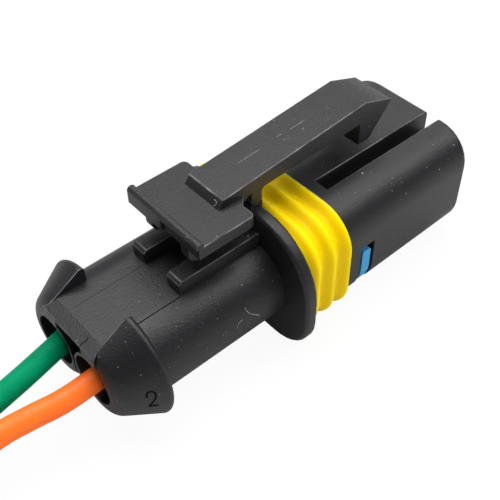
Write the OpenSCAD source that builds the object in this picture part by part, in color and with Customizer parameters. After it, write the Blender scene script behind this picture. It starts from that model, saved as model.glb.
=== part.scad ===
// Two-way sealed automotive plug connector with a rocker latch, an interface seal,
// a secondary lock and two wires. Millimetres, +X to the mating end, +Z up to the latch.
// The origin is under the middle of the connector, on the surface that the flange stands on.

/* [Lengths along the connector] */
// Wire end to the rear face of the flange
body_len = 20.5; // [19:0.1:26]
// Thickness of the flange
flange_t = 1.5; // [1.3:0.1:3]
// Length of the groove that holds the interface seal
seal_len = 5.9; // [4.5:0.1:9]
// Length of the plug in front of the seal
plug_len = 19.3; // [12:0.1:28]

/* [Cavities] */
// Distance between the two wire axes
pitch = 6.4; // [6:0.1:7.4]
// Height of the wire axes
cavity_z = 7.1; // [6.8:0.1:8]
// Diameter of the bores that take the wire seals
bore_d = 5.5; // [5:0.1:5.8]
// Width and height of the terminal sockets
socket = 4.2; // [3.6:0.1:4.6]
// Width of the blade entry in the mating face
blade_w = 3.2; // [2.2:0.1:3.6]
// Height of the blade entry in the mating face
blade_h = 1.2; // [0.8:0.1:1.8]
// Thickness of the mating face
face_t = 1.8; // [1.2:0.1:3]
// Depth of the lead-in round a blade entry
lead_in = 0.6; // [0.3:0.1:1]

/* [Rear body and hoods] */
// Outside radius of the rear body round each wire axis
tube_r = 4.65; // [4.2:0.05:5.2]
// Half width of the flat on top of the rear body
top_half = 3.85; // [3.4:0.05:4.4]
// Gap between the rims of the two wire entries
rim_slit = 0.3; // [0.1:0.05:0.4]
// Depth of that gap, and of the hollow above it
entry_depth = 1.6; // [0.8:0.1:2.4]
// Half width of the hollow under the rear edge of the top plate
hollow_half = 2.1; // [1.4:0.1:2.6]
// Thickness of the plate's rear edge above the hollow
plate_lip = 0.3; // [0.2:0.05:0.6]
// Radius of the rounded rear nose of a hood
nose_r = 1.7; // [1.2:0.1:2]
// Flare of a hood from its axis, in degrees
hood_angle = 30; // [24:1:38]
// Largest radius of a hood
hood_r = 6.5; // [6:0.05:7]
// Rounding of a hood's front edge
hood_edge = 0.5; // [0.3:0.05:0.9]
// Length of the slope at the rear of the top plate
plate_slope = 1.6; // [0.5:0.1:3]
// Drop of that slope
plate_drop = 0.5; // [0.2:0.1:1]
// Widening of the top plate at its rear corners
plate_flare = 0.6; // [0.2:0.1:1]
// Length of that widening
flare_len = 1.4; // [0.8:0.1:2]

/* [Rails under the thumb pad] */
// Length of the rails behind the flange
rail_len = 10.1; // [9:0.1:13]
// Distance from the middle to a rail's inner face
rail_in = 1.8; // [1.2:0.1:2.4]
// Width of one rail
rail_w = 1.95; // [1.4:0.05:2.4]
// Height of the rails above the body
rail_h = 1.65; // [1:0.05:2]
// Bevel on the rear ends of the rails
rail_bevel = 0.35; // [0.1:0.05:0.8]

/* [Flange] */
// Half width of the flange
flange_half = 11; // [10.4:0.1:13]
// Height of the flange
flange_h = 15.5; // [15:0.1:18]
// Corner radius at the top of the flange
flange_r_top = 7.6; // [5:0.1:8]
// Corner radius at the bottom of the flange
flange_r_low = 4.8; // [3:0.1:6]
// Rounding of the flange's rim
flange_edge = 0.45; // [0.2:0.05:0.6]

/* [Plug] */
// Half width of the plug next to the seal
plug_half = 9.1; // [8.6:0.1:10]
// Height of the plug
plug_h = 13.6; // [12.8:0.1:14.4]
// Height of the plug's middle above the wire axes
plug_up = 0.3; // [0:0.1:0.6]
// Corner radius of the plug
plug_r = 4.2; // [3.2:0.1:5]
// How much each side draws in towards the mating end
plug_draft = 0.2; // [0:0.05:0.8]
// Rounding of the mating end
plug_nose = 0.6; // [0.3:0.1:1.2]
// Keyway slot: distance from the seal groove
key_start = 1.5; // [0.8:0.1:4]
// Keyway slot: distance of its inner side from the middle
key_in = 2.5; // [1.6:0.1:3]
// Keyway slot: width
key_w = 1.8; // [1.2:0.1:2.4]
// Keyway slot: depth
key_depth = 3; // [2:0.1:3.4]

/* [Interface seal] */
// How far the ribs stand out at the plug's sides
seal_side = 0.7; // [0.3:0.05:1]
// How far the ribs stand out above the plug
seal_up = 0.15; // [0.1:0.05:0.5]
// How far the ribs stand out below the plug
seal_down = 0.35; // [0.1:0.05:0.6]
// Corner radius at the bottom of the ribs
seal_r_low = 4.7; // [3.6:0.1:6]
// Depth of the valleys between the ribs
rib_h = 0.6; // [0.3:0.05:0.8]
// Distance from one rib's crest to the next
rib_pitch = 2.2; // [1.6:0.05:2.6]
// Depth of the groove below the plug's surface
groove = 1.4; // [1:0.1:1.8]

/* [Secondary lock] */
// Distance of the lock's pocket from the seal groove
lock_start = 2.3; // [1.2:0.1:4]
// Length of the pocket along the connector
pocket_len = 2; // [1.8:0.1:3]
// Thickness of the lock along the connector
lock_t = 1.3; // [0.9:0.1:1.5]
// Space behind the lock in its pocket
lock_back = 0.4; // [0.1:0.1:0.6]
// Height of the side windows' upper edge above the wire axes
window_up = 1.3; // [0.6:0.1:2.2]
// Space above the lock's side arms in the windows
window_gap = 0.9; // [0.3:0.1:1]
// Rounding of the side arms' tips
lock_tip = 0.4; // [0.2:0.05:0.45]
// How far the lock's underside lies inside the plug
lock_recess = 0.6; // [0.2:0.1:1]
// Width of each side arm of the lock
arm_side = 2; // [1.4:0.1:2.4]
// Height of the bar that joins the lock's arms
lock_bar = 2.6; // [1.6:0.1:3]
// How far the lock stands up behind the contact boxes
lock_over = 0.7; // [0.4:0.1:0.9]

/* [Latch arm] */
// Length of the thumb pad
pad_len = 7.1; // [5.8:0.1:8]
// Width of the thumb pad
pad_w = 10.7; // [9.6:0.1:12]
// Thickness of the thumb pad
pad_t = 1.4; // [1:0.1:1.8]
// Height of the thumb pad's top above the flange
pad_up = 2.7; // [2.5:0.1:3.4]
// Corner radius of the thumb pad
pad_r = 0.6; // [0.3:0.1:1.4]
// Distance from the middle of the flange to the pad's front edge
pad_gap = 2.55; // [2.2:0.05:4]
// Leg of the gusset between the pad and the arm
gusset = 0.9; // [0.4:0.1:1.2]
// Height of the grip bar above the pad
bar_h = 0.6; // [0.5:0.1:1]
// Width of the grip bar
bar_t = 0.95; // [0.7:0.05:1.4]
// Depth of the recess in the rear face of one half of the grip bar
bar_recess = 0.3; // [0.1:0.05:0.35]
// Height of the edge that the recess leaves under the bar's rounded top
bar_edge = 0.2; // [0.1:0.05:0.4]
// Width of the arm
arm_w = 5.2; // [4.4:0.1:5.6]
// Height of the step from the pad to the arm
step_h = 0.9; // [0.5:0.1:1.2]
// Distance from the pad's front edge back to the step
step_back = 2.25; // [1.6:0.05:3]
// Length of the step's slope
step_slope = 0.6; // [0.3:0.1:1]
// Arm length from the middle of the flange to the crest
crest_len = 14.9; // [13:0.1:16]
// Height of the arm's crest above the flange
crest_up = 5.3; // [4.8:0.1:6]
// Length of the nose in front of the crest
nose_len = 3.9; // [3:0.1:5]
// Height of the nose's tip above the flange
nose_up = 3.95; // [3.6:0.05:4.4]
// Thickness of the nose's tip
nose_t = 0.4; // [0.2:0.1:0.8]
// Height of the arm's underside above the flange, at the web
under_up = 2.3; // [1.9:0.1:2.4]
// How much the underside rises to the hook
under_rise = 0.5; // [0.3:0.1:1]
// Clear height between the hook and the plug
hook_gap = 1.4; // [0.6:0.1:2]
// Length of the hook's flat bottom
hook_len = 1.6; // [1:0.1:2.4]
// Distance of the catch face behind the crest
catch_back = 0.65; // [0.2:0.05:1.4]
// Width of one stop leg under the pad
leg_w = 1.2; // [0.8:0.1:1.6]
// Length of a stop leg where it leaves the pad
leg_len = 3.3; // [2.8:0.1:4]
// Rounding of a stop leg's rear edge
leg_r = 1.3; // [0.6:0.1:1.5]
// Distance from a stop leg to the rail below it
leg_gap = 1; // [0.9:0.1:1.6]
// Thickness of the web that carries the arm
web_t = 1.4; // [1.1:0.1:1.6]
// Rounding between the web and the arm's underside
web_r = 0.5; // [0.2:0.1:0.8]
// Height of the web's turning axis above the flange
pivot_up = 0.95; // [0.9:0.05:1.2]

/* [Terminals and wire seals] */
// Thickness of the terminal's sheet
sheet = 0.4; // [0.3:0.05:0.5]
// Space between the contact boxes and the mating face
box_front = 0.8; // [0.3:0.1:3]
// Length of the neck behind the contact box
neck_len = 5; // [4:0.1:6]
// Length of the conductor crimp
crimp_len = 4.5; // [3:0.1:5]
// Length of the slope between the crimps
ramp_len = 1.2; // [0.8:0.1:2]
// Length of the insulation crimp
grip_len = 3; // [2:0.1:3.6]
// Length of a wire seal's ribbed part
plug_seal_len = 7; // [5:0.1:9]
// Number of ribs on a wire seal
plug_seal_ribs = 3; // [2:1:4]
// Depth of the valleys between a wire seal's ribs
plug_seal_rib = 0.4; // [0.2:0.05:0.6]

/* [Wires] */
// Outside diameter of a wire
wire_d = 2.4; // [1.8:0.1:2.6]
// Mean radius of the tied coil
coil_r = 13.5; // [12:0.1:16]
// Thickness of the tie's band
tie_t = 0.5; // [0.3:0.1:0.8]
// Width of the tie's band
tie_w = 2.5; // [1.5:0.1:4]
// Size of the tie's head
tie_head = 3; // [2:0.1:4]

/* [Clearances] */
// Seal to its groove, and lock to the plug's sides
skin_gap = 0.1; // [0.05:0.05:0.2]
// Lock to the terminals, and to the bridge above it
lock_gap = 0.1; // [0.05:0.05:0.2]
// Terminal to its socket, all round
socket_gap = 0.2; // [0.1:0.05:0.3]
// Turning clearance of the latch foot in its seat
foot_gap = 0.05; // [0.02:0.01:0.08]
// Wire seal to its bore, wire to its seal, and wires to their tie
bore_gap = 0.05; // [0.02:0.01:0.1]

/* [Hidden] */
$fn = 64;
corner_steps = 8;
edge_steps = 4;
rib_steps = 8;
wire_sides = 8;
past = 1;

// Places along X
rear_x = -(body_len + flange_t + seal_len + plug_len) / 2;
flange_x = rear_x + body_len;
seal_x = flange_x + flange_t;
plug_x = seal_x + seal_len;
front_x = plug_x + plug_len;
pivot_x = flange_x + flange_t / 2;
pad_x = pivot_x - pad_gap;
bar_x = pad_x - pad_len;
pocket_x = plug_x + lock_start;
lock_x = pocket_x + lock_back;
box_x = lock_x + lock_t + lock_gap;
box_end = front_x - face_t - box_front;
crimp_x = box_x - neck_len;
ramp_x = crimp_x - crimp_len;
grip_x = ramp_x - ramp_len;
bore_end = ramp_x;

// Heights
body_top = cavity_z + tube_r;
rail_top = body_top + rail_h;
plug_low = cavity_z + plug_up - plug_h / 2;
plug_top = cavity_z + plug_up + plug_h / 2;
pivot_z = flange_h + pivot_up;
pad_top = flange_h + pad_up;
pad_low = pad_top - pad_t;
under_z = flange_h + under_up;
hook_z = plug_top + hook_gap;
window_top = cavity_z + window_up;
arm_top = window_top - window_gap;
box_half = socket / 2 - socket_gap;
lock_top = cavity_z - box_half + lock_over;
lock_low = plug_low + lock_recess;

// Radii round a wire axis
rim_r = (pitch - rim_slit) / 2;
wire_r = wire_d / 2;
grip_r = bore_d / 2 - 2 * bore_gap - sheet;

// A hood's profile: end of the rounded nose, and middle of the rounded front edge
nose_end = [rim_r + nose_r * cos(hood_angle), rear_x + nose_r * (1 - sin(hood_angle))];
edge_r = hood_r - hood_edge;
edge_x = nose_end[1] + ((edge_r - nose_end[0]) * cos(hood_angle) + hood_edge) / sin(hood_angle);
hood_x = edge_x + hood_edge;

// Wires: routes from the terminals to the coil, and the coil's place
coil_x = -50;
coil_y = 8;
coil_half = wire_d + bore_gap;
route_1 = [
    [-3, 3.2, 7.1], [-8, 3.2, 7.1], [-14, 3.2, 7.1], [-19, 3.2, 7], [-22, 3.1, 6.8], [-25, 2.5, 6.7],
    [-28, 1.9, 6.6], [-31, 1.45, 6.4], [-34, 1.1, 6.05], [-37, 0.5, 5.65], [-40, -0.5, 5.25],
    [-43, -1.9, 4.85], [-46, -3.3, 4.5],
];
route_2 = [
    [-3, -3.2, 7.1], [-8, -3.2, 7.1], [-14, -3.2, 7.1], [-19, -3.2, 7.1], [-23, -3.2, 7], [-27, -3.1, 6.8],
    [-30, -2.6, 6.7], [-33, -2.1, 6.4], [-36, -2.2, 6.1], [-39, -3.1, 5.7], [-42, -4.5, 5.3],
    [-45, -5.8, 4.85], [-48, -6.6, 4.45],
];

// Points on an arc round [u, v], from one angle to another
function arc(u, v, r, from, to, steps) = [
    for (i = [0 : steps]) let (a = from + (to - from) * i / steps) [u + r * cos(a), v + r * sin(a)]
];

// A rounded outline across the connector as [Y, Z] points, with its own radius below and above
function outline(half, low, top, r_low, r_top, in = 0) = let (rl = r_low - in, rt = r_top - in) concat(
    arc(half - r_low, low + r_low, rl, -90, 0, corner_steps),
    arc(half - r_top, top - r_top, rt, 0, 90, corner_steps),
    arc(r_top - half, top - r_top, rt, 90, 180, corner_steps),
    arc(r_low - half, low + r_low, rl, 180, 270, corner_steps)
);

function flange_outline(in) = outline(flange_half, 0, flange_h, flange_r_low, flange_r_top, in);

// The plug's outline at a place along X, drawn in by the draft and by a further inset
function plug_outline(x, in = 0) =
    outline(plug_half - plug_draft * (x - plug_x) / plug_len, plug_low, plug_top, plug_r, plug_r, in);

function seal_outline(in) = outline(
    plug_half + seal_side, plug_low - seal_down, plug_top + seal_up, seal_r_low, plug_r + seal_up, in
);

// A rectangle round the origin as [Y, Z] points
function rectangle(w, h) = [[w / 2, -h / 2], [w / 2, h / 2], [-w / 2, h / 2], [-w / 2, -h / 2]];

// Puts [Y, Z] points at a place along X
function ring(x, points) = [for (p = points) [x, p[0], p[1]]];

// A solid through rings that all have the same number of points
module loft(rings) {
    n = len(rings[0]);
    last = (len(rings) - 1) * n;
    polyhedron(
        points = [for (r = rings) each r],
        faces = concat(
            [[for (i = [0 : n - 1]) i]],
            [for (k = [0 : len(rings) - 2], i = [0 : n - 1]) let (j = (i + 1) % n)
                [k * n + i, (k + 1) * n + i, (k + 1) * n + j, k * n + j]],
            [[for (i = [n - 1 : -1 : 0]) last + i]]
        )
    );
}

// A tube swept along a route, square to the route at every point
module sweep(route, r) {
    end = len(route) - 1;
    loft([for (i = [0 : end]) let (
        ahead = route[min(i + 1, end)] - route[max(i - 1, 0)],
        side = cross([0, 0, 1], ahead) / norm(cross([0, 0, 1], ahead)),
        up = cross(ahead, side) / norm(ahead)
    ) [for (k = [0 : wire_sides - 1]) let (a = 360 * k / wire_sides)
        route[i] + r * (cos(a) * side + sin(a) * up)]]);
}

// A prism along X from a profile drawn as [Y, Z]
module along_x(from, to) {
    translate([from, 0, 0]) rotate([90, 0, 90]) linear_extrude(to - from) children();
}

// A prism across Y from a profile drawn as [X, Z]
module across_y(from, to) {
    translate([0, to, 0]) rotate([90, 0, 0]) linear_extrude(to - from) children();
}

// A solid of revolution about X from a profile drawn as [radius, X]
module about_x(profile) {
    rotate([0, 90, 0]) rotate_extrude() polygon(profile);
}

// Both cavities' places
module each_cavity() {
    for (side = [-1, 1]) translate([0, side * pitch / 2, cavity_z]) children();
}

// Both sides' prisms across Y, as wide as given and with their middles above the rails
module above_rails(width) {
    for (side = [-1, 1]) translate([0, side * (rail_in + rail_w / 2), 0])
        across_y(-width / 2, width / 2) children();
}

// Stadium round both wire axes
module rear_body() {
    along_x(edge_x - past, pivot_x) polygon(concat(
        arc(pitch / 2, cavity_z, tube_r, -90, 90, 2 * corner_steps),
        arc(-pitch / 2, cavity_z, tube_r, 90, 270, 2 * corner_steps)
    ));
}

// One flared hood round a wire axis
module hood() {
    about_x(concat(
        [[0, rear_x]],
        arc(rim_r, rear_x + nose_r, nose_r, -90, -hood_angle, 2 * edge_steps),
        arc(edge_r, edge_x, hood_edge, -hood_angle, 90, 2 * edge_steps),
        [[0, hood_x]]
    ));
}

// A prism across Y that keeps to the top plate's plan, which widens to its rear corners
module across_plate() {
    wide = top_half + plate_flare;
    side = [for (i = [0 : edge_steps]) let (t = i / edge_steps)
        [rear_x + flare_len * t, top_half + plate_flare * pow(1 - t, 2)]];
    intersection() {
        across_y(-wide, wide) children();
        linear_extrude(cavity_z + 2 * hood_r) polygon(concat(
            [[rear_x - past, -wide], [rear_x - past, wide]], side, [[hood_x + past, top_half]],
            [[hood_x + past, -top_half]], [for (i = [edge_steps : -1 : 0]) [side[i][0], -side[i][1]]]
        ));
    }
}

// Both hoods, cleared in the middle down to the plate on top that joins them
module wire_end() {
    rear = [rear_x, body_top - plate_drop];
    plate_top = [rear, [rear_x + plate_slope, body_top], [hood_x, body_top]];
    above = [[hood_x + past, body_top], [hood_x + past, cavity_z + 2 * hood_r]];
    low = cavity_z + rim_r - plate_drop;
    difference() {
        each_cavity() hood();
        across_plate() polygon(concat(
            plate_top, above, [[rear_x - past, cavity_z + 2 * hood_r], rear - [past, 0]]
        ));
    }
    across_plate() polygon(concat(plate_top, [[hood_x, low], [rear_x, low]]));
}

// Slit between the rims of the two wire entries, and the hollow above it under the plate's rear edge
module entry_gap() {
    along_x(rear_x - past, rear_x + entry_depth) difference() {
        union() {
            translate([-rim_slit / 2, 0]) square([rim_slit, cavity_z + past]);
            translate([-hollow_half, cavity_z])
                square([2 * hollow_half, tube_r - plate_drop - plate_lip]);
        }
        for (side = [-1, 1]) translate([side * pitch / 2, cavity_z]) circle(rim_r);
    }
}

// Two rails on the flat, below the thumb pad
module rails() {
    rail_x = flange_x - rail_len;
    above_rails(rail_w) polygon([
        [rail_x, cavity_z + rim_r], [rail_x, rail_top - rail_bevel], [rail_x + rail_bevel, rail_top],
        [pivot_x, rail_top], [pivot_x, cavity_z + rim_r],
    ]);
}

// Flange with a rounded rim
module flange() {
    turn = 90 / edge_steps;
    loft(concat(
        [for (a = [90 : -turn : 0])
            ring(flange_x + flange_edge * (1 - sin(a)), flange_outline(flange_edge * (1 - cos(a))))],
        [for (a = [0 : turn : 90])
            ring(seal_x - flange_edge * (1 - sin(a)), flange_outline(flange_edge * (1 - cos(a))))]
    ));
}

// Core of the seal groove, grown by a gap where the seal is cut to fit it
module seal_core(gap = 0) {
    along_x(pivot_x, plug_x + past)
        polygon(outline(plug_half, plug_low, plug_top, plug_r, plug_r, groove - gap));
}

// Plug with drafted sides and a rounded mating end
module plug() {
    loft(concat(
        [ring(plug_x, plug_outline(plug_x))],
        [for (a = [0 : 90 / edge_steps : 90]) let (x = front_x - plug_nose * (1 - sin(a)))
            ring(x, plug_outline(x, plug_nose * (1 - cos(a))))]
    ));
}

// Cradle on the flange for the foot of the latch web
module latch_seat() {
    low = flange_h - flange_edge - past;
    across_y(-arm_w / 2, arm_w / 2) difference() {
        translate([flange_x, low]) square([flange_t, pivot_z - web_t / 4 - low]);
        translate([pivot_x, pivot_z]) circle(web_t / 2 + foot_gap);
    }
}

// Bores, sockets and blade entries
module cavities() {
    each_cavity() {
        translate([rear_x - past, 0, 0]) rotate([0, 90, 0])
            cylinder(d = bore_d, h = bore_end - rear_x + past);
        along_x(bore_end - past, front_x - face_t) square(socket, center = true);
        along_x(front_x - face_t - past, front_x + past) square([blade_w, blade_h], center = true);
        loft([
            ring(front_x - lead_in, rectangle(blade_w, blade_h)),
            ring(front_x, rectangle(blade_w + lead_in, blade_h + lead_in)),
            ring(front_x + past, rectangle(blade_w + lead_in, blade_h + lead_in)),
        ]);
    }
}

// Keyway slot along the plug's top, on one side only
module keyway() {
    translate([plug_x + key_start, -key_in - key_w, plug_top - key_depth])
        cube([plug_len, key_w, key_depth + past]);
}

// Pocket for the secondary lock: under both sockets, and out through both sides
module lock_pocket() {
    inner = plug_half - arm_side - skin_gap;
    along_x(pocket_x, pocket_x + pocket_len) {
        translate([-inner, -past]) square([2 * inner, lock_top + lock_gap + past]);
        for (side = [0, 1]) mirror([side, 0])
            translate([inner, -past]) square([arm_side + past, window_top + past]);
    }
}

module housing() {
    color("#2c2c2e") difference() {
        union() {
            rear_body();
            wire_end();
            rails();
            flange();
            seal_core();
            plug();
            latch_seat();
        }
        cavities();
        entry_gap();
        keyway();
        lock_pocket();
    }
}

// Side view of the arm: step, crest, nose, hook, underside and web with its round foot
module arm_profile() {
    step_x = pad_x - step_back;
    crest_x = pivot_x + crest_len;
    catch_x = crest_x - catch_back;
    nose = [crest_x + nose_len, flange_h + nose_up];
    web_front = pivot_x + web_t / 2;
    web_rear = pivot_x - web_t / 2;
    polygon(concat(
        [[step_x, pad_low], [step_x, pad_top], [step_x + step_slope, pad_top + step_h],
        [crest_x, flange_h + crest_up], nose, nose - [0, nose_t],
        [catch_x + hook_len, hook_z], [catch_x, hook_z], [catch_x, under_z + under_rise]],
        arc(web_front + web_r, under_z - web_r, web_r, 90, 180, edge_steps),
        [[web_front, pivot_z], [web_rear, pivot_z], [web_rear, under_z], [pad_x, pad_low]]
    ));
    translate([pivot_x, pivot_z]) circle(web_t / 2);
}

// Thumb pad in plan, with rounded front corners and a gusset on each side of the arm
module pad_plan() {
    half = pad_w / 2;
    polygon(concat(
        [[bar_x, half], [bar_x, -half]],
        arc(pad_x - pad_r, pad_r - half, pad_r, -90, 0, corner_steps),
        arc(pad_x - pad_r, half - pad_r, pad_r, 0, 90, corner_steps)
    ));
    polygon([
        [pad_x - pad_r, -arm_w / 2 - gusset], [pad_x, -arm_w / 2 - gusset], [pad_x + gusset, -arm_w / 2],
        [pad_x + gusset, arm_w / 2], [pad_x, arm_w / 2 + gusset], [pad_x - pad_r, arm_w / 2 + gusset],
    ]);
}

// Grip bar along the pad's rear edge, seen from the side
module bar_profile() {
    top = pad_top + bar_h - bar_t / 2;
    translate([bar_x, pad_low]) square([bar_t, top - pad_low]);
    translate([bar_x + bar_t / 2, top]) circle(bar_t / 2);
}

// Stop leg under the pad, seen from the side, with a rounded rear edge
module leg_profile() {
    back = bar_x + bar_t / 2;
    low = rail_top + leg_gap;
    high = pad_top - pad_t / 2;
    polygon(concat(
        [[back + leg_len, high], [back, high]],
        arc(back + leg_r, low + leg_r, leg_r, 180, 270, corner_steps),
        [[back + 2 * leg_r, low]]
    ));
}

module latch_arm() {
    color("#303032") {
        across_y(-arm_w / 2, arm_w / 2) arm_profile();
        difference() {
            union() {
                translate([0, 0, pad_low]) linear_extrude(pad_t) pad_plan();
                across_y(-pad_w / 2, pad_w / 2) bar_profile();
            }
            translate([bar_x - past, -pad_w / 2 - past, pad_low - past])
                cube([past + bar_recess, pad_w / 2 + past, past + pad_t + bar_h - bar_t / 2 - bar_edge]);
        }
        above_rails(leg_w) leg_profile();
    }
}

// Ribbed silicone ring in the groove in front of the flange
module interface_seal() {
    length = seal_len - 2 * skin_gap;
    steps = round(rib_steps * length / rib_pitch);
    color("#f2cf00") difference() {
        loft([for (i = [0 : steps]) let (x = length * i / steps)
            ring(seal_x + skin_gap + x, seal_outline(rib_h * (1 + cos(360 * x / rib_pitch)) / 2))]);
        seal_core(skin_gap);
    }
}

// Forked bar that goes in from below and stands behind the contact boxes
module secondary_lock() {
    shoulder = 2 * box_half;
    inner = plug_half - arm_side;
    color("#3f94c8") intersection() {
        along_x(lock_x, lock_x + lock_t) intersection() {
            polygon(plug_outline(pocket_x + pocket_len, skin_gap));
            union() {
                translate([-plug_half, lock_low]) square([2 * plug_half, lock_bar]);
                for (side = [0, 1]) mirror([side, 0]) {
                    translate([(pitch - shoulder) / 2, lock_low]) square([shoulder, lock_top - lock_low]);
                    translate([inner, lock_low]) square([arm_side, arm_top - lock_low]);
                }
            }
        }
        across_y(-plug_half, plug_half) polygon(concat(
            [[lock_x, lock_low], [lock_x + lock_t, lock_low]],
            arc(lock_x + lock_t - lock_tip, arm_top - lock_tip, lock_tip, 0, 90, corner_steps),
            arc(lock_x + lock_tip, arm_top - lock_tip, lock_tip, 90, 180, corner_steps)
        ));
    }
}

// Formed sheet socket: contact box, neck, conductor crimp, slope and insulation crimp
module terminal() {
    neck_z = lock_top + lock_gap - cavity_z;
    neck_half = box_half - sheet;
    crimp_half = neck_half - sheet / 2;
    ramp_low = -grip_r - sheet / 2;
    color("#c9b26a") {
        difference() {
            along_x(box_x, box_end) square(2 * box_half, center = true);
            along_x(box_x + sheet, box_end + past) square(2 * neck_half, center = true);
        }
        along_x(crimp_x, box_x + sheet) difference() {
            translate([-neck_half, neck_z]) square([2 * neck_half, neck_half]);
            translate([sheet - neck_half, neck_z + sheet]) square([2 * (neck_half - sheet), neck_half]);
        }
        along_x(ramp_x, crimp_x + sheet) {
            translate([-crimp_half, neck_z]) square([2 * crimp_half, sheet - neck_z]);
            for (side = [-1, 1]) translate([side * crimp_half / 2, sheet]) circle(crimp_half / 2);
        }
        across_y(-crimp_half / 2, crimp_half / 2) polygon([
            [grip_x - sheet, ramp_low], [grip_x - sheet, ramp_low + sheet],
            [ramp_x + sheet, neck_z + sheet], [ramp_x + sheet, neck_z],
        ]);
        along_x(grip_x - grip_len, grip_x) difference() {
            circle(grip_r + sheet);
            circle(grip_r);
            translate([-sheet / 2, 0]) square([sheet, bore_d]);
        }
    }
}

// Silicone plug round a wire: ribs in the bore, and a neck in the insulation crimp
module wire_seal() {
    rib_r = bore_d / 2 - bore_gap;
    neck_r = grip_r - bore_gap;
    neck_x = grip_x - grip_len - sheet;
    step = plug_seal_len / (2 * plug_seal_ribs);
    color("#3a3a3c") about_x(concat(
        [[wire_r + bore_gap, neck_x - plug_seal_len]],
        [for (i = [0 : 2 * plug_seal_ribs])
            [rib_r - (i % 2 == 0 ? plug_seal_rib : 0), neck_x - plug_seal_len + i * step]],
        [[neck_r, neck_x], [neck_r, grip_x - sheet], [wire_r + bore_gap, grip_x - sheet]]
    ));
}

module terminal_1() { translate([0, pitch / 2, cavity_z]) terminal(); }

module terminal_2() { translate([0, -pitch / 2, cavity_z]) terminal(); }

module wire_seal_1() { translate([0, pitch / 2, cavity_z]) wire_seal(); }

module wire_seal_2() { translate([0, -pitch / 2, cavity_z]) wire_seal(); }

module wire_1() { color("#068a5a") sweep(route_1, wire_r); }

module wire_2() { color("#ff7a28") sweep(route_2, wire_r); }

// Outer form of both wires' coil, two wires wide and two turns high
module wire_coil() {
    color("#c07a3a") translate([coil_x, coil_y, tie_t + bore_gap]) rotate_extrude()
        translate([coil_r - coil_half, 0]) square(2 * coil_half);
}

// Band tie round the coil, with its head on the outside
module coil_tie() {
    band = coil_half + bore_gap;
    color("#26262a") translate([coil_x - coil_r, coil_y, band + tie_t]) {
        across_y(-tie_w / 2, tie_w / 2) difference() {
            square(2 * (band + tie_t), center = true);
            square(2 * band, center = true);
        }
        translate([-band - tie_head, -tie_head / 2, -tie_head / 2])
            cube([tie_head - tie_t / 2, tie_head, tie_head]);
    }
}

housing();
latch_arm();
interface_seal();
secondary_lock();
terminal_1();
terminal_2();
wire_seal_1();
wire_seal_2();
wire_1();
wire_2();
wire_coil();
coil_tie();
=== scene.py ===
import math

import bmesh
import bpy
from mathutils import Matrix, Vector


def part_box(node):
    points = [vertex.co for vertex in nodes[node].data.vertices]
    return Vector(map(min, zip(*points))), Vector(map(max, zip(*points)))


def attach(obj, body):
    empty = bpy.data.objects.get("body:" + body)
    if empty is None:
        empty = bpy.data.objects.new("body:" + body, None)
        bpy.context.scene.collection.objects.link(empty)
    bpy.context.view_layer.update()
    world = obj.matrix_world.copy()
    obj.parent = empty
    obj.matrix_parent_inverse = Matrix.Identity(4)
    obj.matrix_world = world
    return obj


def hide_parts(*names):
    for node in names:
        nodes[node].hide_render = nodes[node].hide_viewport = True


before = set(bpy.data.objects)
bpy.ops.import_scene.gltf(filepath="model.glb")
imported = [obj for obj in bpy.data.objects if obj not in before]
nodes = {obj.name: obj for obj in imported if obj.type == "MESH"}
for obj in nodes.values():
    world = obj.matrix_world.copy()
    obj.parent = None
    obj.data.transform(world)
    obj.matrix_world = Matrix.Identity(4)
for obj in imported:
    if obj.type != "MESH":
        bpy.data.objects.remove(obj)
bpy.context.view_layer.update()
mm = 0.001
print("frame loaded:", len(nodes), "solids")


# sRGB hex to the linear colour that the shaders take
def linear(code):
    channels = [int(code[i:i + 2], 16) / 255 for i in (1, 3, 5)]
    return [c / 12.92 if c <= 0.04045 else ((c + 0.055) / 1.055) ** 2.4 for c in channels] + [1.0]


# Adds one shader node: settings go to its sockets or properties, links to its sockets
def addNode(tree, kind, settings=None, links=None):
    node = tree.nodes.new("ShaderNode" + kind)
    for key, value in (settings or {}).items():
        if isinstance(key, int) or key in node.inputs:
            node.inputs[key].default_value = value
        else:
            setattr(node, key, value)
    for key, source in (links or {}).items():
        tree.links.new(source, node.inputs[key])
    return node


# A new material: its node tree, its shader and the coordinates that its patterns follow
def startMaterial(name):
    material = bpy.data.materials.new(name)
    material.use_nodes = True
    tree = material.node_tree
    coords = addNode(tree, "TexCoord").outputs["Object"]
    return material, tree, tree.nodes["Principled BSDF"], coords


# Joins patterns to a shader, and sets the sockets that are the same all over
def fillShader(tree, shader, links, values):
    for key, source in links.items():
        tree.links.new(source, shader.inputs[key])
    for key, value in values.items():
        shader.inputs[key].default_value = value


# Two close shades in soft patches: the pattern behind them, and the colour
def twoShades(tree, coords, look):
    patches = addNode(tree, "TexNoise", {"Scale": 1 / (look["patch"] * mm), "Detail": look["detail"]},
                      {"Vector": coords})
    colour = addNode(tree, "Mix", {"data_type": "RGBA", 6: linear(look["deep"]), 7: linear(look["pale"])},
                     {0: patches.outputs["Fac"]})
    return patches.outputs["Fac"], colour.outputs[2]


# Fine grain of a surface: its pattern, and the roughness that follows it
def grainAndGloss(tree, coords, look):
    grain = addNode(tree, "TexNoise", {"Scale": 1 / (look["grain"] * mm), "Detail": look["grainDetail"]},
                    {"Vector": coords})
    gloss = addNode(tree, "MapRange", {"To Min": look["gloss"][0], "To Max": look["gloss"][1]},
                    {"Value": grain.outputs["Fac"]})
    return grain.outputs["Fac"], gloss.outputs["Result"]


# A plain finish: two close shades, even gloss
def plainFinish(name, look):
    material, tree, shader, coords = startMaterial(name)
    fillShader(tree, shader, {"Base Color": twoShades(tree, coords, look)[1]}, look["values"])
    return material


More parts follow.
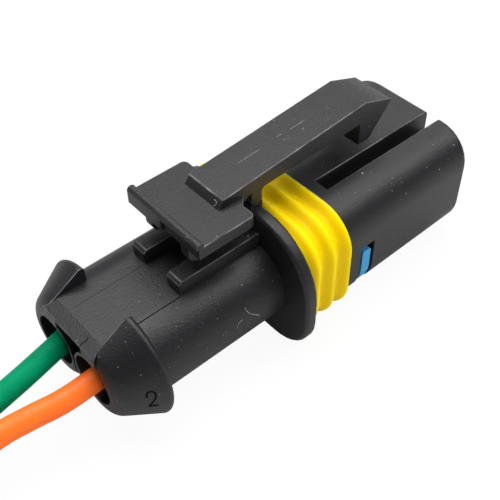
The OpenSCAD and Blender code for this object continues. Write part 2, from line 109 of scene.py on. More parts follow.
# Bare metal: two close shades, with a gloss that follows them
def metalFinish(name, look):
    material, tree, shader, coords = startMaterial(name)
    patches, colour = twoShades(tree, coords, look)
    gloss = addNode(tree, "MapRange", {"To Min": look["gloss"][0], "To Max": look["gloss"][1]},
                    {"Value": patches})
    fillShader(tree, shader, {"Base Color": colour, "Roughness": gloss.outputs[0]}, {"Metallic": 1.0})
    return material


# Camera: standing behind the wires' side and looking down on the latch
cameraLook = {
    "place": (-42.265, -48.233, 73.264),  # mm
    "right": (0.75260, -0.65836, -0.01196),
    "up": (0.48320, 0.53984, 0.68926),
    "lens": 61.2,
    "sensor": 36,
    "nearest": 5,  # mm, where the view begins
}


def addCamera(look):
    right, up = Vector(look["right"]), Vector(look["up"])
    back = right.cross(up)
    turn = Matrix((right, up, back)).transposed().to_4x4()
    camera = bpy.data.objects.new("photoCamera", bpy.data.cameras.new("photoCamera"))
    camera.data.lens = look["lens"]
    camera.data.sensor_width = look["sensor"]
    camera.data.clip_start = look["nearest"] * mm
    camera.matrix_world = Matrix.Translation(Vector(look["place"]) * mm) @ turn
    bpy.context.scene.collection.objects.link(camera)
    bpy.context.scene.camera = camera


addCamera(cameraLook)
print("camera placed")


# Finished piece: linked, riding on its body, with its finish
def addPiece(name, data, body, material):
    piece = bpy.data.objects.new(name, data)
    bpy.context.scene.collection.objects.link(piece)
    data.materials.append(material)
    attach(piece, body)
    return piece


# A mesh from a bmesh, smooth apart from edges sharper than the given angle
def meshFrom(bm, name, sharpAngle=40):
    for face in bm.faces:
        face.smooth = True
    for edge in bm.edges:
        edge.smooth = edge.calc_face_angle(0) < math.radians(sharpAngle)
    mesh = bpy.data.meshes.new(name)
    bm.to_mesh(mesh)
    bm.free()
    return mesh


# A curve of round lines, with a width in mm, through lists of points in metres
def roundLines(name, lines, width, roundSteps, lengthSteps):
    curve = bpy.data.curves.new(name, "CURVE")
    curve.dimensions = "3D"
    curve.bevel_depth = width / 2 * mm
    curve.bevel_resolution = roundSteps
    curve.resolution_u = lengthSteps
    curve.use_fill_caps = True
    for line in lines:
        spline = curve.splines.new("BEZIER")
        spline.bezier_points.add(len(line) - 1)
        for place, point in zip(line, spline.bezier_points):
            point.co = place
            point.handle_left_type = point.handle_right_type = "AUTO"
    return curve


# Cross-linked wire insulation: extruded, slightly waxy, with a soft highlight along its length
insulationLook = {
    "patch": 3,  # mm
    "patchEnds": (0.3, 0.7),
    "detail": 3,
    "grain": 0.25,
    "grainDetail": 2,
    "gloss": (0.42, 0.55),
    "bump": {"Strength": 0.1, "Distance": 0.03 * mm},
    # sockets that are the same all over
    "values": {"IOR": 1.5, "Subsurface Weight": 0.3, "Subsurface Scale": 0.8 * mm},
    "green": {
        "deep": "#008054",
        "pale": "#009066",
        "values": {"Specular IOR Level": 0.05, "Subsurface Radius": (0.1, 1.0, 0.7)},
    },
    "orange": {
        "deep": "#FF6B18",
        "pale": "#FF7B26",
        "values": {"Specular IOR Level": 0.34, "Subsurface Radius": (1.0, 0.4, 0.1)},
    },
}


def insulation(colour, look):
    material, tree, shader, coords = startMaterial(colour + "CrossLinkedInsulation")
    patches = addNode(tree, "TexNoise", {"Scale": 1 / (look["patch"] * mm), "Detail": look["detail"]},
                      {"Vector": coords})
    shade = addNode(tree, "ValToRGB", {}, {"Fac": patches.outputs["Fac"]})
    for stop, key, position in zip(shade.color_ramp.elements, ("deep", "pale"), look["patchEnds"]):
        stop.color = linear(look[colour][key])
        stop.position = position
    grain, gloss = grainAndGloss(tree, coords, look)
    bump = addNode(tree, "Bump", look["bump"], {"Height": grain})
    values = {**look["values"], **look[colour]["values"]}
    fillShader(tree, shader, {"Base Color": shade.outputs["Color"], "Roughness": gloss,
                              "Normal": bump.outputs["Normal"]}, values)
    return material


# Wires: the leads' points and the coil's size are those of the part's source, in mm
wireLook = {
    "diameter": 2.4,
    "length": 175,
    "coil": (-50, 8),
    "lapHeights": (4.25, 1.8),  # the first lap lies on the second
    "pointsPerTurn": 20,
    "roundSteps": 6,
    "lengthSteps": 6,
    "exitX": -23.6,
    "green": {
        "radius": 12.25,
        "fall": (232, 295),  # degrees from the coil's start, while it comes down to the lower lap
        "lead": [
            (-3, 3.2, 7.1), (-8, 3.2, 7.1), (-14, 3.2, 7.1), (-19, 3.2, 7), (-22, 3.1, 6.8),
            (-25, 2.5, 6.7), (-28, 1.9, 6.6), (-31, 1.45, 6.4), (-34, 1.1, 6.05), (-37, 0.5, 5.65),
            (-40, -0.5, 5.25), (-43, -1.9, 4.85), (-46, -3.3, 4.5),
        ],
    },
    "orange": {
        "radius": 14.75,
        "fall": (130, 280),
        "lead": [
            (-3, -3.2, 7.1), (-8, -3.2, 7.1), (-14, -3.2, 7.1), (-19, -3.2, 7.1), (-23, -3.2, 7),
            (-27, -3.1, 6.8), (-30, -2.6, 6.7), (-33, -2.1, 6.4), (-36, -2.2, 6.1), (-39, -3.1, 5.7),
            (-42, -4.5, 5.3), (-45, -5.8, 4.85), (-48, -6.6, 4.45),
        ],
    },
}


# Points along one wire: its lead, then as much of the coil as its length leaves
def wireLine(look):
    centre = Vector((*wireLook["coil"], 0))
    high, low = wireLook["lapHeights"]
    radius = look["radius"]
    points = [Vector(p) for p in look["lead"]]
    start = Vector((centre.x, centre.y - radius, high))
    run = sum((b - a).length for a, b in zip(points, points[1:] + [start]))
    turned = math.degrees((wireLook["length"] - run) / radius)
    steps = round(turned / 360 * wireLook["pointsPerTurn"])
    for i in range(steps + 1):
        angle = turned * i / steps
        t = min(max((angle - look["fall"][0]) / (look["fall"][1] - look["fall"][0]), 0), 1)
        a = math.radians(-90 - angle)
        height = high + (low - high) * t * t * (3 - 2 * t)  # eases in and out of the fall
        points.append(Vector((centre.x + radius * math.cos(a), centre.y + radius * math.sin(a), height)))
    return [p * mm for p in points]


def addWire(name, colour, nodesReplaced):
    points = wireLine(wireLook[colour])
    curve = roundLines(name, [points], wireLook["diameter"], wireLook["roundSteps"],
                       wireLook["lengthSteps"])
    finish = insulation(colour, insulationLook)
    wire = addPiece(name, curve, "connector", finish)
    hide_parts(*nodesReplaced)
    return wire, points


# Bare drawn copper: reddish metal with paler patches
copperLook = {"deep": "#A65A33", "pale": "#D08A5C", "patch": 0.2, "detail": 2, "gloss": (0.25, 0.45)}

strandLook = {
    "around": 6,
    "radius": 0.25,  # mm
    "spread": 0.51,  # from the middle strand to those round it
    "sides": 12,
    "length": 2.0,
    "proud": 0.3,
    "edge": 0.05,
    "rimAngle": 60,
}


# The conductor at a wire's cut end: one strand in the middle and a ring of them round it
def addStrands(name, points, material, look):
    way = (points[-1] - points[-2]).normalized()
    frameThere = Matrix.Translation(points[-1]) @ way.to_track_quat("Z", "X").to_matrix().to_4x4()
    radius, spread = look["radius"] * mm, look["spread"] * mm
    middle = (look["proud"] - look["length"] / 2) * mm
    bm = bmesh.new()
    spots = [Vector((0, 0, middle))]
    for i in range(look["around"]):
        turn = 2 * math.pi * i / look["around"]
        spots.append(Vector((spread * math.cos(turn), spread * math.sin(turn), middle)))
    for spot in spots:
        bmesh.ops.create_cone(bm, cap_ends=True, segments=look["sides"], radius1=radius, radius2=radius,
                              depth=look["length"] * mm, matrix=frameThere @ Matrix.Translation(spot))
    rims = [e for e in bm.edges if e.calc_face_angle(0) > math.radians(look["rimAngle"])]
    bmesh.ops.bevel(bm, geom=rims, offset=look["edge"] * mm, offset_type="OFFSET", segments=2,
                    profile=0.5, affect="EDGES", material=-1)
    return addPiece(name, meshFrom(bm, name), "connector", material)


greenWire, greenPoints = addWire("greenWire", "green", ["wire_1", "wire_coil"])
orangeWire, orangePoints = addWire("orangeWire", "orange", ["wire_2"])
copper = metalFinish("drawnCopper", copperLook)
for wire, points in ((greenWire, greenPoints), (orangeWire, orangePoints)):
    strands = addStrands(wire.name + "Strands", points, copper, strandLook)
print("wires laid:", wireLook["length"], "mm each")

# Soft studio: pale floor, broad lights overhead, behind and at the left,
# a smaller one from the right and a soft fill in front, all in metres
studioLook = {
    "floorSize": 3.0,
    "floorWhite": "#F7F7F7",
    "floorPaper": "#C2C2C2",
    "paperRoughness": 0.9,
    "floorOwnLight": 0.94,
    "mirrorLight": 0.04,  # how much of the white shows in gloss
    "brightWay": (0.45, 0.45, 0.77),  # where the room is brightest
    "brightFrom": 0.6,
    "skyHigh": "#E6EAF0",
    "skyLow": "#2A2B2D",
    "skyStrength": 0.22,
    "lamps": [
        {"name": "overheadLamp", "from": (0.07, 0.17, 0.6), "size": (0.58, 0.54), "watts": 4.75},
        {"name": "rightLamp", "from": (0.38, -0.2, 0.5), "size": (0.3, 0.3), "watts": 1.65},
        {"name": "backLamp", "from": (0.5, 0.34, 0.12), "size": (0.5, 0.3), "watts": 0.62},
        {"name": "leftCard", "from": (-0.5, 0.4, 0.34), "size": (0.6, 0.75), "watts": 0.88},
        {"name": "frontFill", "from": (0.05, -0.52, 0.22), "size": (0.4, 0.3), "watts": 1.6,
         "mirrored": False},
    ],
}


# Two shares for a backdrop: whether a ray looks straight at it, and how far its own white shows
def backdropShare(tree, ownLight, mirrorLight):
    path = addNode(tree, "LightPath")
    seen = addNode(tree, "Math", {"operation": "MAXIMUM"},
                   {0: path.outputs["Is Camera Ray"], 1: path.outputs["Is Transmission Ray"]})
    lit = addNode(tree, "Math", {"operation": "MULTIPLY", 1: ownLight}, {0: seen.outputs[0]})
    mirrored = addNode(tree, "Math", {"operation": "MULTIPLY", 1: mirrorLight},
                       {0: path.outputs["Is Glossy Ray"]})
    share = addNode(tree, "Math", {"operation": "MAXIMUM"}, {0: lit.outputs[0], 1: mirrored.outputs[0]})
    return seen.outputs[0], share.outputs[0]


# Matt paper sweep: seen directly it is nearly white, and it still takes the shadow
def addFloor(look):
    bm = bmesh.new()
    bmesh.ops.create_grid(bm, x_segments=1, y_segments=1, size=look["floorSize"] / 2)
    floor = bpy.data.objects.new("paleFloor", meshFrom(bm, "paleFloor"))
    bpy.context.scene.collection.objects.link(floor)
    material, tree, shader = startMaterial("paperSweep")[:3]
    seen, share = backdropShare(tree, look["floorOwnLight"], look["mirrorLight"])
    tint = addNode(tree, "Mix", {"data_type": "RGBA", 6: linear(look["floorPaper"]),
                                 7: linear(look["floorWhite"])}, {0: seen})
    fillShader(tree, shader, {"Base Color": tint.outputs[2]}, {"Roughness": look["paperRoughness"]})
    glow = addNode(tree, "Emission", {"Strength": 1.0})
    mixed = addNode(tree, "MixShader", {}, {0: share, 1: shader.outputs[0], 2: glow.outputs[0]})
    tree.links.new(mixed.outputs[0], tree.nodes["Material Output"].inputs["Surface"])
    floor.data.materials.append(material)


# The room: brighter overhead and behind, and as white as the paper where it is seen directly
def addRoom(look):
    world = bpy.data.worlds.new("studioRoom")
    bpy.context.scene.world = world
    world.use_nodes = True
    tree = world.node_tree
    way = addNode(tree, "VectorMath", {"operation": "DOT_PRODUCT", 1: look["brightWay"]},
                  {0: addNode(tree, "TexCoord").outputs["Generated"]})
    sky = addNode(tree, "ValToRGB", {}, {"Fac": way.outputs["Value"]})
    sky.color_ramp.elements[0].color = linear(look["skyLow"])
    sky.color_ramp.elements[1].color = linear(look["skyHigh"])
    sky.color_ramp.elements[1].position = look["brightFrom"]
    room = tree.nodes["Background"]
    fillShader(tree, room, {"Color": sky.outputs["Color"]}, {"Strength": look["skyStrength"]})
    paper = addNode(tree, "Background", {"Color": linear(look["floorWhite"]), "Strength": 1.0})
    share = backdropShare(tree, 1.0, look["mirrorLight"])[1]
    mixed = addNode(tree, "MixShader", {}, {0: share, 1: room.outputs[0], 2: paper.outputs[0]})
    tree.links.new(mixed.outputs[0], tree.nodes["World Output"].inputs["Surface"])


# A lamp that faces the part
def addLamp(look):
    lamp = bpy.data.lights.new(look["name"], "AREA")
    lamp.shape = "RECTANGLE"
    lamp.size, lamp.size_y = look["size"]
    lamp.energy = look["watts"]
    holder = bpy.data.objects.new(look["name"], lamp)
    place = Vector(look["from"])
    holder.location = place
    holder.rotation_mode = "QUATERNION"
    holder.rotation_quaternion = place.to_track_quat("Z", "Y")
    holder.visible_glossy = look.get("mirrored", True)
    bpy.context.scene.collection.objects.link(holder)


bpy.context.scene.view_settings.view_transform = "Standard"
addFloor(studioLook)
addRoom(studioLook)
for lampLook in studioLook["lamps"]:
    addLamp(lampLook)
print("studio lit")

# Moulded black nylon: satin and even, with fine dust; its edges are paler, partly from wear and partly
# from a painted highlight
nylonLook = {
    "deep": "#161618",
    "pale": "#1B1B1D",
    # pale edge colour: partly wear, partly a painted highlight
    "wornHighlight": "#8C8C90",
    "wornHighlightPatches": {"From Min": 0.35, "From Max": 0.65, "To Min": 0.1, "To Max": 0.7},
    "patch": 2.6,  # mm
    "detail": 4,
    "grain": 0.2,  # drawn coarser than the mould's spark texture, so that it shows
    "grainDetail": 3,
    "gloss": (0.39, 0.47),
    "bump": {"Strength": 0.6, "Distance": 0.07 * mm},
    "values": {"IOR": 1.53, "Specular IOR Level": 0.4},
    "dustColour": "#C9C9C6",
    "drift": 7,
    "driftEnds": {"From Min": 0.4, "From Max": 0.65},
    "facingUp": {"From Min": -0.3, "From Max": 0.5},
    "lump": 0.25,
    "push": 0.25,
    "dust": [
        {"spacing": 0.4, "across": 0.15, "bare": 0.45, "show": 0.45, "drifts": True},
        {"spacing": 0.8, "across": 0.2, "bare": 0.6, "show": 0.75, "drifts": False},
    ],
}


# Specks of dust that have settled on what faces up, in drifts: a mask from 0 to 1
def dustMask(tree, coords, look):
    drift = addNode(tree, "TexNoise", {"Scale": 1 / (look["drift"] * mm), "Detail": 1},
                    {"Vector": coords})
    thick = addNode(tree, "MapRange", look["driftEnds"], {"Value": drift.outputs["Fac"]})
    facing = addNode(tree, "SeparateXYZ", {}, {0: addNode(tree, "NewGeometry").outputs["Normal"]})
    above = addNode(tree, "MapRange", look["facingUp"], {"Value": facing.outputs["Z"]})
    # specks are lumpy, because their pattern is pushed about
    lumps = addNode(tree, "TexNoise", {"Scale": 1 / (look["lump"] * mm), "Detail": 1},
                    {"Vector": coords})
    push = addNode(tree, "VectorMath", {"operation": "MULTIPLY", 1: [look["push"] * mm] * 3},
                   {0: lumps.outputs["Color"]})
    pushed = addNode(tree, "VectorMath", {"operation": "ADD"}, {0: coords, 1: push.outputs[0]})
    mask = None
    for size in look["dust"]:
        cells = addNode(tree, "TexVoronoi", {"Scale": 1 / (size["spacing"] * mm)},
                        {"Vector": pushed.outputs[0]})
        parts = addNode(tree, "SeparateColor", {}, {0: cells.outputs["Color"]})
        widest = size["across"] / size["spacing"] / 2
        kept = addNode(tree, "MapRange", {"From Min": size["bare"], "To Max": widest},
                       {"Value": parts.outputs[0]})
        speck = addNode(tree, "Math", {"operation": "LESS_THAN"},
                        {0: cells.outputs["Distance"], 1: kept.outputs[0]})
        bright = addNode(tree, "Math", {"operation": "MULTIPLY", 1: size["show"]}, {0: parts.outputs[1]})
        shown = addNode(tree, "Math", {"operation": "MULTIPLY"},
                        {0: speck.outputs[0], 1: bright.outputs[0]})
        if size["drifts"]:
            shown = addNode(tree, "Math", {"operation": "MULTIPLY"},
                            {0: shown.outputs[0], 1: thick.outputs[0]})
        if mask:
            shown = addNode(tree, "Math", {"operation": "MAXIMUM"},
                            {0: mask.outputs[0], 1: shown.outputs[0]})
        mask = shown
    settled = addNode(tree, "Math", {"operation": "MULTIPLY"}, {0: mask.outputs[0], 1: above.outputs[0]})
    return settled.outputs[0]


def blackNylon(look):
    material, tree, shader, coords = startMaterial("mouldedBlackNylon")
    patches, colour = twoShades(tree, coords, look)
    # pale edges, partly wear and partly painted highlight, follow the piece's own edge attribute, broken
    # up by the patches
    edge = addNode(tree, "Attribute", {"attribute_name": "wornHighlight"})
    patchy = addNode(tree, "MapRange", look["wornHighlightPatches"], {"Value": patches})
    wornHighlight = addNode(tree, "Math", {"operation": "MULTIPLY"},
                     {0: edge.outputs["Fac"], 1: patchy.outputs[0]})
    wornAndHighlit = addNode(tree, "Mix", {"data_type": "RGBA", 7: linear(look["wornHighlight"])},
                   {0: wornHighlight.outputs[0], 6: colour})
    dusty = addNode(tree, "Mix", {"data_type": "RGBA", 7: linear(look["dustColour"])},
                    {0: dustMask(tree, coords, look), 6: wornAndHighlit.outputs[2]})
    grain, gloss = grainAndGloss(tree, coords, look)
    bump = addNode(tree, "Bump", look["bump"], {"Height": grain})
    fillShader(tree, shader, {"Base Color": dusty.outputs[2], "Roughness": gloss,
                              "Normal": bump.outputs["Normal"]}, look["values"])
    return material


nylon = blackNylon(nylonLook)

# Edges as the mould leaves them, in mm and degrees
housingEdges = {
    "weld": 0.002,
    "flatAngle": 1.0,
    "edgeAngle": 28,
    "edgeRadius": 0.09,
    "segments": 2,
    "wornHighlightAbove": 1.5,  # wear and a painted highlight show on edges that face up
    "sparedInFront": 2,  # and hardly on those that face the mating end
    "sharpBox": ((-3.2, -2.7, 15.4), (-1.5, 2.7, 16.2)),  # the latch's cradle, whose lips are thin
}
latchEdges = {**housingEdges, "edgeRadius": 0.1, "sharpBox": None}
lockEdges = {**housingEdges, "edgeRadius": 0.08, "sharpBox": None}


# A solid's own form with its outer edges rounded
def roundedCopy(name, node, body, material, look):
    # whether an edge lies where the walls are too thin to round
    def staysSharp(edge):
        if not look["sharpBox"]:
            return False
        low, high = look["sharpBox"]
        return all(low[i] * mm < vert.co[i] < high[i] * mm for vert in edge.verts for i in range(3))

    # how far a rounded edge is worn and carries a painted highlight, from 0 to 1
    def wearAndHighlight(normal):
        shown = look["wornHighlightAbove"] * normal.z - look["sparedInFront"] * max(normal.x, 0)
        return min(max(shown, 0), 1)

    bm = bmesh.new()
    bm.from_mesh(nodes[node].data)
    bmesh.ops.remove_doubles(bm, verts=bm.verts, dist=look["weld"] * mm)
    bmesh.ops.dissolve_limit(bm, angle_limit=math.radians(look["flatAngle"]), verts=bm.verts,
                             edges=bm.edges)
    # each rounded face keeps a share of wear and painted highlight, which the nylon's finish reads
    wornHighlight = bm.faces.layers.float.new("wornHighlight")
    limit = math.radians(look["edgeAngle"])
    edges = [e for e in bm.edges if e.calc_face_angle_signed(0) > limit and not staysSharp(e)]
    made = bmesh.ops.bevel(bm, geom=edges, offset=look["edgeRadius"] * mm, offset_type="OFFSET",
                           segments=look["segments"], profile=0.5, affect="EDGES", clamp_overlap=False,
                           material=-1)
    for face in made["faces"]:
        face.normal_update()
        face[wornHighlight] = wearAndHighlight(face.normal)
    bmesh.ops.remove_doubles(bm, verts=bm.verts, dist=look["weld"] * mm)
    print(name, len(edges), "edges rounded,", len(bm.faces), "faces")
    piece = addPiece(name, meshFrom(bm, name), body, material)
    normals = piece.modifiers.new("evenShading", "WEIGHTED_NORMAL")
    normals.keep_sharp = True
    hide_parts(node)


# Moulded blue polyester of the lock: even colour, satin
blueLook = {"deep": "#288DC2", "pale": "#329AD0", "patch": 1.6, "detail": 3,
            "values": {"Roughness": 0.5}}

bluePolyester = plainFinish("mouldedBluePolyester", blueLook)
roundedCopy("mouldedHousing", "housing", "connector", nylon, housingEdges)
roundedCopy("rockerLatch", "latch_arm", "latch", nylon, latchEdges)
roundedCopy("blueLock", "secondary_lock", "lock", bluePolyester, lockEdges)

# Moulded silicone of the ribbed ring: soft yellow, light goes a little way in, with painted shade in the
# valleys
yellowLook = {
    "crest": "#F2D200",
    # valley colour: painted shade, darker than the crests
    "valleyShade": "#E4C200",
    "grain": 0.3,  # mm
    "grainDetail": 2,
    "gloss": (0.42, 0.55),
    "values": {
        "IOR": 1.41,
        "Specular IOR Level": 0.15,
        "Subsurface Weight": 0.4,
        "Subsurface Radius": (1.0, 0.8, 0.15),
        "Subsurface Scale": 1.0 * mm,
    },
}


def yellowSilicone(look):
    material, tree, shader, coords = startMaterial("yellowSilicone")
    # the valley share paints shade into the colour, from the crests down into the valleys
    depth = addNode(tree, "Attribute", {"attribute_name": "valleyShade"})
    colour = addNode(tree, "Mix", {"data_type": "RGBA", 6: linear(look["crest"]),
                                   7: linear(look["valleyShade"])}, {0: depth.outputs["Fac"]})
    gloss = grainAndGloss(tree, coords, look)[1]
    fillShader(tree, shader, {"Base Color": colour.outputs[2], "Roughness": gloss}, look["values"])
    return material


sealShape = {
    "lowRadius": 4.7,  # mm
    "topRadius": 4.35,
    "ribPitch": 2.2,
    "ribDepth": 0.6,
    "ringSteps": 40,
    "cornerSteps": 14,
    "wall": 1.4,
    "sharpAngle": 70,
}


def addSeal(shape, material):
    low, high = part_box("interface_seal")
    radii = {"low": shape["lowRadius"] * mm, "top": shape["topRadius"] * mm}
    depth = shape["ribDepth"] * mm

    # straight out from the outline at a point on it
    def outward(co):
        r = radii["low"] if co.z < (low.z + high.z) / 2 else radii["top"]
        y = min(max(co.y, low.y + r), high.y - r)
        z = min(max(co.z, low.z + r), high.z - r)
        return Vector((0, co.y - y, co.z - z)).normalized()

    bm = bmesh.new()
    corners = [bm.verts.new((low.x, y, z)) for y, z in
               ((high.y, low.z), (high.y, high.z), (low.y, high.z), (low.y, low.z))]
    bm.faces.new(corners)
    for pair, r in (((corners[0], corners[3]), radii["low"]), ((corners[1], corners[2]), radii["top"])):
        bmesh.ops.bevel(bm, geom=list(pair), offset=r, offset_type="OFFSET",
                        segments=shape["cornerSteps"], profile=0.5, affect="VERTICES", material=-1)
    bmesh.ops.delete(bm, geom=bm.faces[:], context="FACES_ONLY")
    # how far each ring lies in a valley, which the finish paints as shade
    valleyShade = bm.verts.layers.float.new("valleyShade")
    first = bm.edges[:]
    for vert in bm.verts:
        vert.co -= outward(vert.co) * depth
        vert[valleyShade] = 1.0

    # one more ring, at a place along X and so far in from the crests
    def nextRing(ring, x, fromInset, toInset, shadeShare):
        made = bmesh.ops.extrude_edge_only(bm, edges=ring)["geom"]
        for vert in [g for g in made if isinstance(g, bmesh.types.BMVert)]:
            vert.co += outward(vert.co) * (fromInset - toInset)
            vert.co.x = x
            vert[valleyShade] = shadeShare
        return [g for g in made if isinstance(g, bmesh.types.BMEdge) and g.is_boundary]

    ring = first
    inset = depth
    for step in range(1, shape["ringSteps"] + 1):
        along = (high.x - low.x) * step / shape["ringSteps"]
        dip = (1 + math.cos(2 * math.pi * along / (shape["ribPitch"] * mm))) / 2
        ring = nextRing(ring, low.x + along, inset, depth * dip, dip)
        inset = depth * dip
    wall = (shape["ribDepth"] + shape["wall"]) * mm
    ring = nextRing(ring, high.x, inset, wall, 1.0)
    ring = nextRing(ring, low.x, wall, wall, 1.0)
    bmesh.ops.bridge_loops(bm, edges=first + ring)
    bmesh.ops.recalc_face_normals(bm, faces=bm.faces)
    mesh = meshFrom(bm, "ribbedSeal", shape["sharpAngle"])
    seal = addPiece("ribbedSeal", mesh, "connector", material)
    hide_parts("interface_seal")


addSeal(sealShape, yellowSilicone(yellowLook))
print("seal ribbed")

# Finishes of fine lines: matt, with hardly any gloss
lineLook = {"patch": 0.4, "detail": 2, "values": {"Roughness": 0.8, "Specular IOR Level": 0.1}}
grooveShadeLook = {**lineLook, "deep": "#040405", "pale": "#0A0A0B"}  # mould lines and numbers: nearly black, painted shade of the grooves they stand for
scuffedLook = {**lineLook, "deep": "#5A5A5C", "pale": "#8A8A8C"}  # scratches: pale, dry plastic
lintLook = {**lineLook, "deep": "#77776F", "pale": "#A6A69C"}  # lint: pale fibres
grooveShadeNylon = plainFinish("grooveShadeNylon", grooveShadeLook)
scuffedNylon = plainFinish("scuffedNylon", scuffedLook)
paleLint = plainFinish("paleLint", lintLook)
strokeSteps = {"round": 2, "length": 4}


# Fine lines on a surface: one curve with a stroke for each list of points, in mm
def addStrokes(name, strokes, width, body, material):
    lines = [[Vector(place) * mm for place in stroke] for stroke in strokes]
    curve = roundLines(name, lines, width, strokeSteps["round"], strokeSteps["length"])
    addPiece(name, curve, body, material)


# Cavity numbers on the hoods: one stroke list each, across and up from 0 to 1
cavityMarks = {
    "axis": (3.2, 7.1),
    "coneStart": (-22.75, 4.52),  # X and radius where the hood's cone begins
    "coneAngle": 30,
    "x": (-21.1, -20.3),
    "angles": (7, -14.5),  # from the level of the axis, at the foot and at the head of a number
    "width": 0.23,
    "sunk": 0.06,
    "1": [
        [(0.15, 0.78), (0.55, 1)],
        [(0.55, 1), (0.55, 0.75), (0.55, 0.5), (0.55, 0.25), (0.55, 0)],
    ],
    "2": [
        [(0, 0.7), (0.06, 0.9), (0.45, 1), (0.86, 0.86), (0.8, 0.55), (0.35, 0.22), (0.05, 0)],
        [(0.05, 0), (1, 0)],
    ],
}


def addCavityMark(number, side, look):
    left, right = look["x"] if side < 0 else reversed(look["x"])
    foot, head = look["angles"]
    startX, startRadius = look["coneStart"]
    axisY, axisZ = look["axis"]
    slope = math.tan(math.radians(look["coneAngle"]))

    # a point of a stroke on the hood's cone
    def onCone(across, up):
        x = left + (right - left) * across
        radius = startRadius + (x - startX) * slope - look["sunk"]
        turn = math.radians(foot + (head - foot) * up)
        return (x, side * (axisY + radius * math.cos(turn)), axisZ - radius * math.sin(turn))

    strokes = [[onCone(*p) for p in stroke] for stroke in look[number]]
    # the numbers' strokes are nearly black: painted shade of engraved numbers
    addStrokes("cavityMark" + number, strokes, look["width"], "connector", grooveShadeNylon)


addCavityMark("1", 1, cavityMarks)
addCavityMark("2", -1, cavityMarks)

# Fine lines that the mould, handling and dust have left
surfaceLines = {
    # mould lines are drawn nearly black: painted shade of their grooves
    "mouldLines": {
        "width": 0.1, "body": "connector", "material": grooveShadeNylon,
        "strokes": [
            [(-18.4, -3.84, 11.7), (-13.2, -3.84, 11.7)],
            [(-22.5, -2.05, 11.59), (-22.85, -2.12, 11.48), (-23.2, -2.06, 11.37), (-23.55, -2.1, 11.25)],
        ],
    },
    "faintMouldLine": {
        "width": 0.05, "body": "connector", "material": grooveShadeNylon,
        "strokes": [[(-21.6, 1.76, 11.74), (-13.2, 1.76, 11.74)]],
    },
    "armScratches": {
        "width": 0.1, "body": "latch", "material": scuffedNylon,
        "strokes": [
            [(-2.4, 0.22, 19.46), (-1.7, 0.2, 19.52)], [(-1.6, 0.2, 19.53), (0.34, 0.16, 19.7)],
            [(2.8, 0.27, 19.92), (3.4, 0.23, 19.97)], [(4.5, 0.12, 20.07), (6.4, 0.07, 20.24)],
        ],
    },
    "latchLint": {
        "width": 0.07, "body": "latch", "material": paleLint,
        "strokes": [
            [(-6.8, -1.58, 18.75), (-6.81, -1.86, 18.74), (-6.91, -2.04, 18.6), (-7.12, -1.86, 18.28)],
        ],
    },
    "bodyLint": {
        "width": 0.06, "body": "connector", "material": paleLint,
        "strokes": [
            [(-8.2, -7.34, 9.22), (-8.1, -7.58, 8.72), (-7.61, -7.76, 8.08), (-6.77, -7.85, 7.32)],
            [(-9.64, -7.84, 7.64), (-9.35, -7.75, 8.09), (-8.82, -7.74, 8.2)],
        ],
    },
}
for name, look in surfaceLines.items():
    addStrokes(name, look["strokes"], look["width"], look["body"], look["material"])
print("marks drawn")

# Band tie round the coil: a rounded band, and a head with a slot and the end of the tail in it
tieLook = {
    "middle": (-63.5, 8, 3),
    "half": 3,  # mm, outside of the band
    "corner": 1.1,
    "cornerSteps": 5,
    "bandThick": 0.5,
    "bandWide": 2.5,
    "head": (2.75, 3, 3),
    "headMiddle": (-67.62, 8, 3),
    "slot": (0.55, 0.9),  # rim round it, and depth
    "tail": (1.0, 1.7, 2.2),
    "tailUp": 0.5,
    "edge": 0.12,
    "edgeAngle": 50,
}


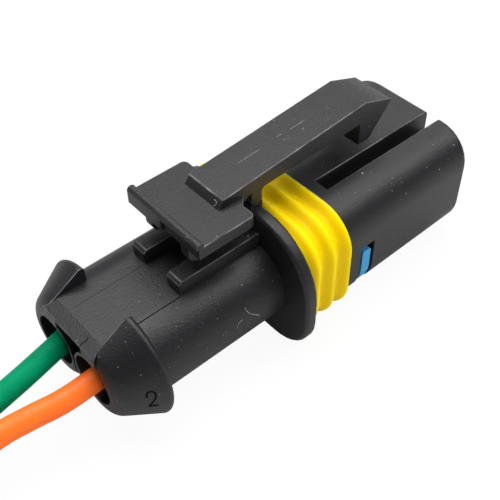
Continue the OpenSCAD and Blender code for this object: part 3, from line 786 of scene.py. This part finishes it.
def addTie(look, material):
    bm = bmesh.new()
    upright = Matrix.Rotation(math.radians(90), 4, "X")
    start = Vector(look["middle"]) * mm + Vector((0, look["bandWide"] / 2 * mm, 0))
    bmesh.ops.create_grid(bm, x_segments=1, y_segments=1, size=look["half"] * mm,
                          matrix=Matrix.Translation(start) @ upright)
    bmesh.ops.bevel(bm, geom=bm.verts[:], offset=look["corner"] * mm, offset_type="OFFSET",
                    segments=look["cornerSteps"], profile=0.5, affect="VERTICES", material=-1)
    inner = bm.faces[:]
    bmesh.ops.inset_region(bm, faces=inner, thickness=look["bandThick"] * mm, use_boundary=True,
                           use_even_offset=True)
    bmesh.ops.delete(bm, geom=inner, context="FACES")
    made = bmesh.ops.extrude_face_region(bm, geom=bm.faces[:])["geom"]
    bmesh.ops.translate(bm, verts=[g for g in made if isinstance(g, bmesh.types.BMVert)],
                        vec=(0, -look["bandWide"] * mm, 0))
    place = Matrix.Translation(Vector(look["headMiddle"]) * mm)
    headSize = Matrix.Diagonal((*look["head"], 1))
    headVerts = bmesh.ops.create_cube(bm, size=mm, matrix=place @ headSize)["verts"]
    top = max({f for v in headVerts for f in v.link_faces}, key=lambda f: f.calc_center_median().z)
    rim, deep = look["slot"]
    bmesh.ops.inset_region(bm, faces=[top], thickness=rim * mm)
    bmesh.ops.translate(bm, verts=top.verts, vec=(0, 0, -deep * mm))
    lift = Matrix.Translation((0, 0, look["tailUp"] * mm))
    bmesh.ops.create_cube(bm, size=mm, matrix=lift @ place @ Matrix.Diagonal((*look["tail"], 1)))
    bmesh.ops.recalc_face_normals(bm, faces=bm.faces)
    sharp = [e for e in bm.edges if e.calc_face_angle(0) > math.radians(look["edgeAngle"])]
    bmesh.ops.bevel(bm, geom=sharp, offset=look["edge"] * mm, offset_type="OFFSET", segments=2,
                    profile=0.5, affect="EDGES", material=-1)
    tie = addPiece("bandTie", meshFrom(bm, "bandTie"), "connector", material)
    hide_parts("coil_tie")


addTie(tieLook, nylon)
print("tie made")

# Tinned bronze strip of the contacts: pale grey metal with a warm cast, duller in its dark patches
bronzeLook = {"deep": "#9C9484", "pale": "#CFC9BC", "patch": 1.2, "detail": 3, "gloss": (0.42, 0.28)}

# Moulded dark silicone of the wire seals: soft, matt and slightly uneven
darkLook = {"deep": "#1A1A1C", "pale": "#2C2C2E", "patch": 1.5, "detail": 3,
            "values": {"Roughness": 0.6, "IOR": 1.41}}

darkSilicone = plainFinish("darkSilicone", darkLook)
tinnedBronze = metalFinish("tinnedBronze", bronzeLook)
for number in ("1", "2"):
    nodes["terminal_" + number].material_slots[0].material = tinnedBronze
    nodes["wire_seal_" + number].material_slots[0].material = darkSilicone
print("inner pieces finished")
